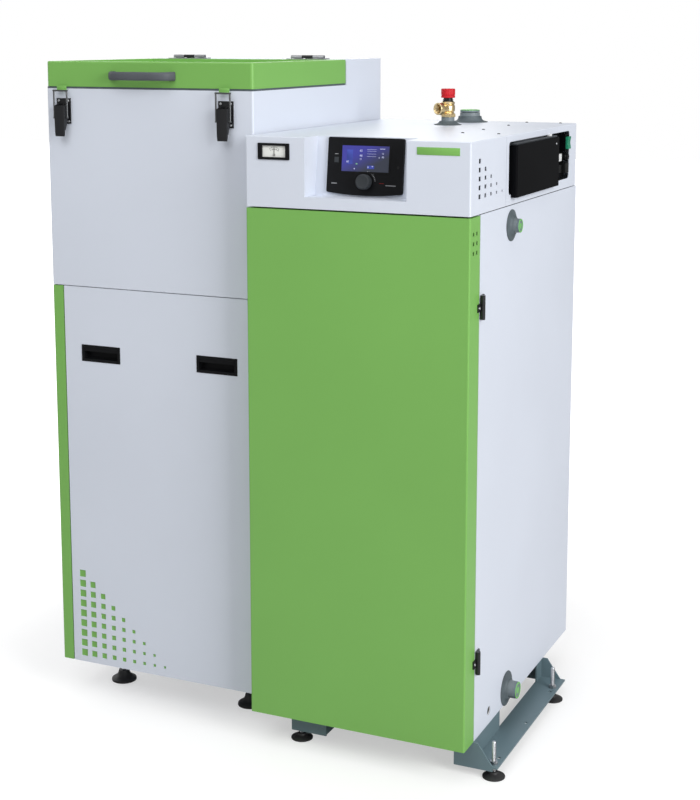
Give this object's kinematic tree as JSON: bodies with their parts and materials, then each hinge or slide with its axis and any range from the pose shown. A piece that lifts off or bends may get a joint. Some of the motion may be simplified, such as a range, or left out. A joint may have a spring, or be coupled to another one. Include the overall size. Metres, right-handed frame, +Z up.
{
  "type": "pellet boiler",
  "caption": "Automatic pellet heating boiler: cabinet with green door, tilted controller and safety valve, beside a latched fuel hopper with auger burner.",
  "frame": {"origin": "on the floor, under the middle of the whole unit's outline (its bounding box)", "axes": "+Z up, front with the door, lid handle and controller towards -Y, boiler on the +X side, hopper on the -X side, flue spigot towards +Y"},
  "size_m": [0.966, 0.747, 1.3248],
  "materials": {
    "green_paint": "semi-gloss powder coat",
    "white_paint": "fine-textured powder coat",
    "black_plastic": "satin",
    "black_metal": "satin",
    "grey_plastic": "satin",
    "green_plastic": "gloss",
    "red_plastic": "gloss",
    "pointer_red": "matte",
    "dial_white": "matte",
    "screen_glass": "gloss",
    "brass": "satin",
    "rubber": "matte",
    "zinc_steel": "satin",
    "galvanised": "spangled",
    "base_paint": "satin",
    "dark_steel": "matte",
    "cast_iron": "rough"
  },
  "bodies": {
    "casing": {"ash_pan": "galvanised", "auger_tube": "galvanised", "base_cross_members": "base_paint", "base_rails": "base_paint", "boiler_body": "dark_steel", "burner_body": "cast_iron", "casing_screws": "zinc_steel", "control_module": "black_plastic", "controller_panel": "black_plastic", "controller_pocket": "white_paint", "controller_screen": "screen_glass", "corner_trim": "green_paint", "door_hinge_leaves": "black_metal", "fan_housing": "galvanised", "front_hood": "white_paint", "furnace_door": "dark_steel", "gauge_bezel": "black_plastic", "gauge_dial": "dial_white", "gearmotor": "dark_steel", "hopper_funnel": "galvanised", "hopper_lower_casing": "white_paint", "hopper_shell": "white_paint", "latch_bases": "black_metal", "left_side_panel": "white_paint", "levelling_feet": "black_plastic", "levelling_nuts": "zinc_steel", "levelling_studs": "zinc_steel", "lid_gasket": "rubber", "lid_hinge_bases": "black_metal", "module_connectors": "grey_plastic", "name_plate": "green_paint", "pipe_stubs": "dark_steel", "port_plugs": "green_paint", "port_rosettes": "rubber", "rear_panel": "white_paint", "right_side_panel": "white_paint", "safety_valve_body": "brass", "safety_valve_bonnet": "black_metal", "top_cover": "white_paint"},
    "door": {"boiler_door": "green_paint", "door_hinge_knuckles": "black_metal"},
    "lid": {"hopper_lid": "green_paint", "lid_handle": "grey_plastic", "latch_keepers": "green_paint", "lid_hinge_leaves": "zinc_steel"},
    "left_lever": {"latch_lever_left": "black_metal"},
    "right_lever": {"latch_lever_right": "black_metal"},
    "left_bail": {"latch_bail_left": "zinc_steel"},
    "right_bail": {"latch_bail_right": "zinc_steel"},
    "front_panel": {"hopper_front_panel": "white_paint", "vent_backing": "green_paint", "flush_handles": "black_plastic"},
    "encoder": {"encoder_shaft": "zinc_steel"},
    "knob": {"controller_knob": "black_plastic"},
    "rocker": {"main_switch_rocker": "green_plastic"},
    "valve_cap": {"safety_valve_cap": "red_plastic"},
    "pointer": {"gauge_pointer": "pointer_red"},
    "auger": {"auger_screw": "zinc_steel"},
    "wheel": {"fan_wheel": "zinc_steel"},
    "furnace_handle": {"furnace_door_handle": "dark_steel"}
  },
  "joints": [
    {"name": "door_swing", "type": "hinge", "parent": "casing", "child": "door", "pos_m": [0.4298, -0.3155, 0.559], "axis": [0, 0, 1], "range_deg": [0, 95]},
    {"name": "lid_lift", "type": "hinge", "parent": "casing", "child": "lid", "pos_m": [-0.25325, 0.094, 1.3208], "axis": [-1, 0, 0], "range_deg": [0, 95]},
    {"name": "left_lever_pull", "type": "hinge", "parent": "casing", "child": "left_lever", "pos_m": [-0.4435, -0.332, 1.228], "axis": [-1, 0, 0], "range_deg": [0, 95]},
    {"name": "right_lever_pull", "type": "hinge", "parent": "casing", "child": "right_lever", "pos_m": [-0.0805, -0.332, 1.228], "axis": [-1, 0, 0], "range_deg": [0, 95]},
    {"name": "left_bail_turn", "type": "hinge", "parent": "left_lever", "child": "left_bail", "pos_m": [-0.4435, -0.3365, 1.206], "axis": [-1, 0, 0], "range_deg": [-95, 0]},
    {"name": "right_bail_turn", "type": "hinge", "parent": "right_lever", "child": "right_bail", "pos_m": [-0.0805, -0.3365, 1.206], "axis": [-1, 0, 0], "range_deg": [-95, 0]},
    {"name": "panel_lift_out", "type": "slide", "parent": "casing", "child": "front_panel", "axis": [0, -1, 0], "range_m": [0, 0.08]},
    {"name": "knob_push", "type": "slide", "parent": "casing", "child": "encoder", "axis": [0, 0.9923, -0.124], "range_m": [0, 0.0015], "stiffness_N_per_m": 300, "springref_m": -0.002},
    {"name": "knob_turn", "type": "hinge", "parent": "encoder", "child": "knob", "pos_m": [0.2065, -0.33069, 1.10369], "axis": [0, -0.9923, 0.124], "continuous": true},
    {"name": "main_switch", "type": "hinge", "parent": "casing", "child": "rocker", "pos_m": [0.4235, 0.2075, 1.148], "axis": [0, 1, 0], "range_deg": [-9, 9]},
    {"name": "valve_cap_turn", "type": "hinge", "parent": "casing", "child": "valve_cap", "pos_m": [0.1985, 0.113, 1.2393], "axis": [0, 0, 1], "continuous": true},
    {"name": "gauge_needle", "type": "hinge", "parent": "casing", "child": "pointer", "pos_m": [0.043, -0.3695, 1.1505], "axis": [0, 1, 0], "range_deg": [-45, 45], "stiffness_Nm_per_rad": 0.0001},
    {"name": "auger_turn", "type": "hinge", "parent": "casing", "child": "auger", "pos_m": [-0.355, -0.1265, 0.44], "axis": [1, 0, 0], "continuous": true},
    {"name": "fan_turn", "type": "hinge", "parent": "casing", "child": "wheel", "pos_m": [-0.093, -0.1265, 0.302], "axis": [0, 1, 0], "continuous": true},
    {"name": "furnace_latch", "type": "hinge", "parent": "casing", "child": "furnace_handle", "pos_m": [0.3365, -0.2905, 0.4015], "axis": [0, 1, 0], "range_deg": [0, 90]}
  ],
  "couplings": [
    {"joint": "left_bail_turn", "follows": "left_lever_pull", "ratio": -1},
    {"joint": "right_bail_turn", "follows": "right_lever_pull", "ratio": -1}
  ]
}
